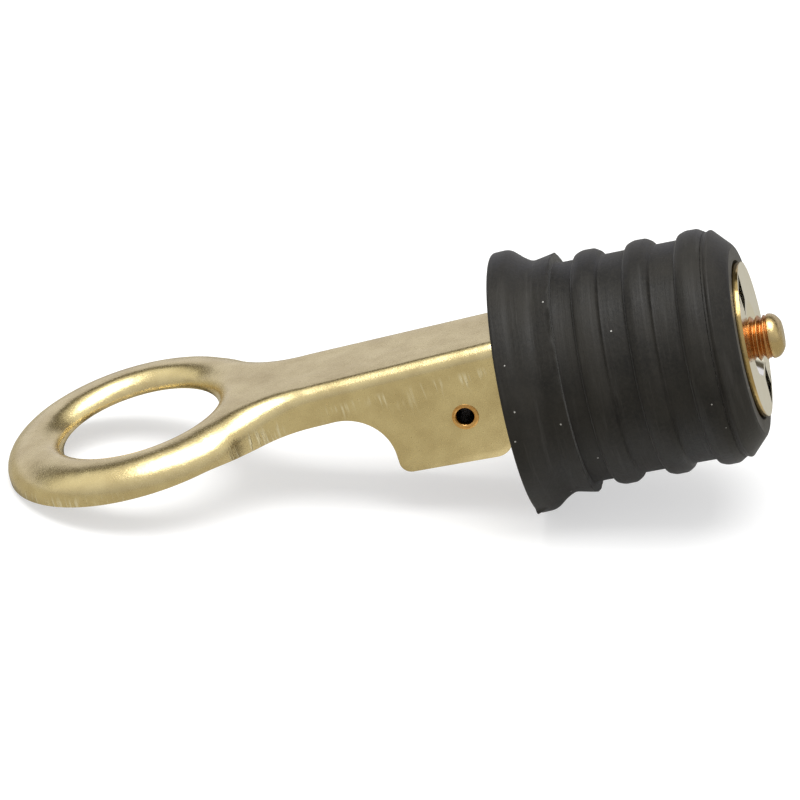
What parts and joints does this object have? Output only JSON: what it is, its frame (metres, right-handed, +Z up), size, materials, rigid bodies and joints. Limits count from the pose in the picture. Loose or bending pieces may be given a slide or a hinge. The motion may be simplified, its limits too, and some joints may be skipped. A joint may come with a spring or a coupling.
{
  "type": "drain plug",
  "caption": "Expanding rubber drain plug for a boat's drain tube, with a threaded brass stud and a fold-down brass lever ending in a pull ring.",
  "frame": {"origin": "bottom centre of the box of the whole plug as it lies, on the surface that it lies on", "axes": "+X runs from the pull ring to the nose along the surface, +Y across the handle, +Z up. The plug's own axis lies in the XZ plane and rises towards +X, because the plug lies on the rim of its rubber and the far edge of its ring."},
  "size_m": [0.083, 0.0296, 0.0314],
  "materials": {
    "pressed_brass": "satin drawn sheet",
    "turned_brass": "turned, warm and slightly darkened",
    "bright_brass": "bright stamped",
    "black_rubber": "moulded, matt"
  },
  "bodies": {
    "bung": {"rubber_plug": "black_rubber"},
    "stud": {"eye_stud": "turned_brass"},
    "lever": {"handle": "pressed_brass", "pivot_pin": "turned_brass"},
    "bearing_washer": {"washer": "pressed_brass"},
    "clamp_plate": {"nose_plate": "bright_brass"}
  },
  "joints": [
    {"name": "stud_turn", "type": "hinge", "parent": "bung", "child": "stud", "pos_m": [0.01312, 0, 0.01346], "axis": [0.9667, 0, 0.256], "range_deg": [-540, 360]},
    {"name": "handle_swing", "type": "hinge", "parent": "stud", "child": "lever", "pos_m": [0.00795, 0, 0.01167], "axis": [0, -1, 0], "range_deg": [0, 90]},
    {"name": "plate_travel", "type": "slide", "parent": "bung", "child": "clamp_plate", "axis": [0.9667, 0, 0.256], "range_m": [-0.0008, 0.0012], "deforming": ["rubber_plug"]},
    {"name": "washer_press", "type": "slide", "parent": "bung", "child": "bearing_washer", "axis": [0.9667, 0, 0.256], "range_m": [0, 0.0012], "deforming": ["rubber_plug"]}
  ],
  "couplings": [
    {"joint": "plate_travel", "follows": "stud_turn", "m_per_rad": -0.00012633},
    {"joint": "washer_press", "follows": "handle_swing", "m_per_rad": 0.00076394}
  ]
}
